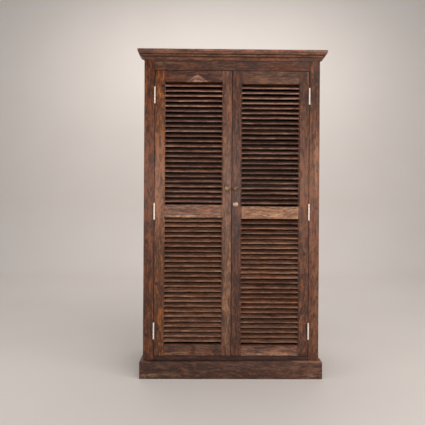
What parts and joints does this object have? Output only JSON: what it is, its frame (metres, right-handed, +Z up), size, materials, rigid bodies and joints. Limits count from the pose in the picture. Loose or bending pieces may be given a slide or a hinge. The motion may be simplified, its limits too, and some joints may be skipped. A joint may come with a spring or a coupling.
{
  "type": "louvred door cabinet",
  "caption": "Tall dark wooden cupboard with fixed-louvre doors in a face frame, crown and plinth, butt hinges, round knobs, a cam lock and slide bolts.",
  "frame": {"origin": "middle of the footprint on the floor, under the crown's outline", "axes": "+Z up, doors face -Y, +X to the right seen from the front"},
  "size_m": [1.15, 0.587, 2],
  "materials": {
    "frame_wood": "waxed dark stained hardwood",
    "door_wood": "waxed dark stained hardwood",
    "louvre_wood": "waxed dark stained hardwood",
    "trim_wood": "waxed dark stained hardwood",
    "inner_wood": "plain stained hardwood",
    "nickel_plate": "bright nickel plate",
    "aged_brass": "aged brass"
  },
  "bodies": {
    "carcass": {"back_boards": "inner_wood", "back_rails": "inner_wood", "bolt_keepers": "nickel_plate", "bottom_board": "inner_wood", "bottom_door_stop": "inner_wood", "bottom_rail": "frame_wood", "crown_front": "trim_wood", "crown_left": "trim_wood", "crown_right": "trim_wood", "frieze_rail": "frame_wood", "left_frame_hinge_leaves": "nickel_plate", "left_front_post": "frame_wood", "left_rear_post": "frame_wood", "left_shelf_cleats": "inner_wood", "left_side_panels": "inner_wood", "left_side_rails": "frame_wood", "plinth_front": "trim_wood", "plinth_left": "trim_wood", "plinth_right": "trim_wood", "right_frame_hinge_leaves": "nickel_plate", "right_front_post": "frame_wood", "right_rear_post": "frame_wood", "right_shelf_cleats": "inner_wood", "right_side_panels": "inner_wood", "right_side_rails": "frame_wood", "shelf_1": "inner_wood", "shelf_2": "inner_wood", "shelf_3": "inner_wood", "shelf_4": "inner_wood", "top_board": "inner_wood", "top_door_stop": "inner_wood"},
    "left_door": {"bolt_plates": "nickel_plate", "left_bottom_rail": "door_wood", "left_door_hinge_leaves": "nickel_plate", "left_hinge_stile": "door_wood", "left_knob": "aged_brass", "left_lower_louvres": "louvre_wood", "left_meeting_stile": "door_wood", "left_mid_rail": "door_wood", "left_top_rail": "door_wood", "left_upper_louvres": "louvre_wood", "lock_strike": "nickel_plate"},
    "right_door": {"lock_barrel": "nickel_plate", "lock_nut": "nickel_plate", "right_bottom_rail": "door_wood", "right_door_hinge_leaves": "nickel_plate", "right_hinge_stile": "door_wood", "right_knob": "aged_brass", "right_lower_louvres": "louvre_wood", "right_meeting_stile": "door_wood", "right_mid_rail": "door_wood", "right_top_rail": "door_wood", "right_upper_louvres": "louvre_wood"},
    "lock_cam": {"lock_cam": "nickel_plate", "lock_plug": "nickel_plate"},
    "top_bolt": {"top_bolt": "nickel_plate"},
    "bottom_bolt": {"bottom_bolt": "nickel_plate"}
  },
  "joints": [
    {"name": "left_door_hinge", "type": "hinge", "parent": "carcass", "child": "left_door", "pos_m": [-0.4731, -0.2619, 1.0085], "axis": [0, 0, -1], "range_deg": [0, 170]},
    {"name": "right_door_hinge", "type": "hinge", "parent": "carcass", "child": "right_door", "pos_m": [0.4731, -0.2619, 1.0085], "axis": [0, 0, 1], "range_deg": [0, 170]},
    {"name": "lock_turn", "type": "hinge", "parent": "right_door", "child": "lock_cam", "pos_m": [0.02425, -0.2215, 1.065], "axis": [0, 1, 0], "range_deg": [0, 90]},
    {"name": "top_bolt_slide", "type": "slide", "parent": "left_door", "child": "top_bolt", "axis": [0, 0, 1], "range_m": [0, 0.017]},
    {"name": "bottom_bolt_slide", "type": "slide", "parent": "left_door", "child": "bottom_bolt", "axis": [0, 0, -1], "range_m": [0, 0.017]}
  ]
}
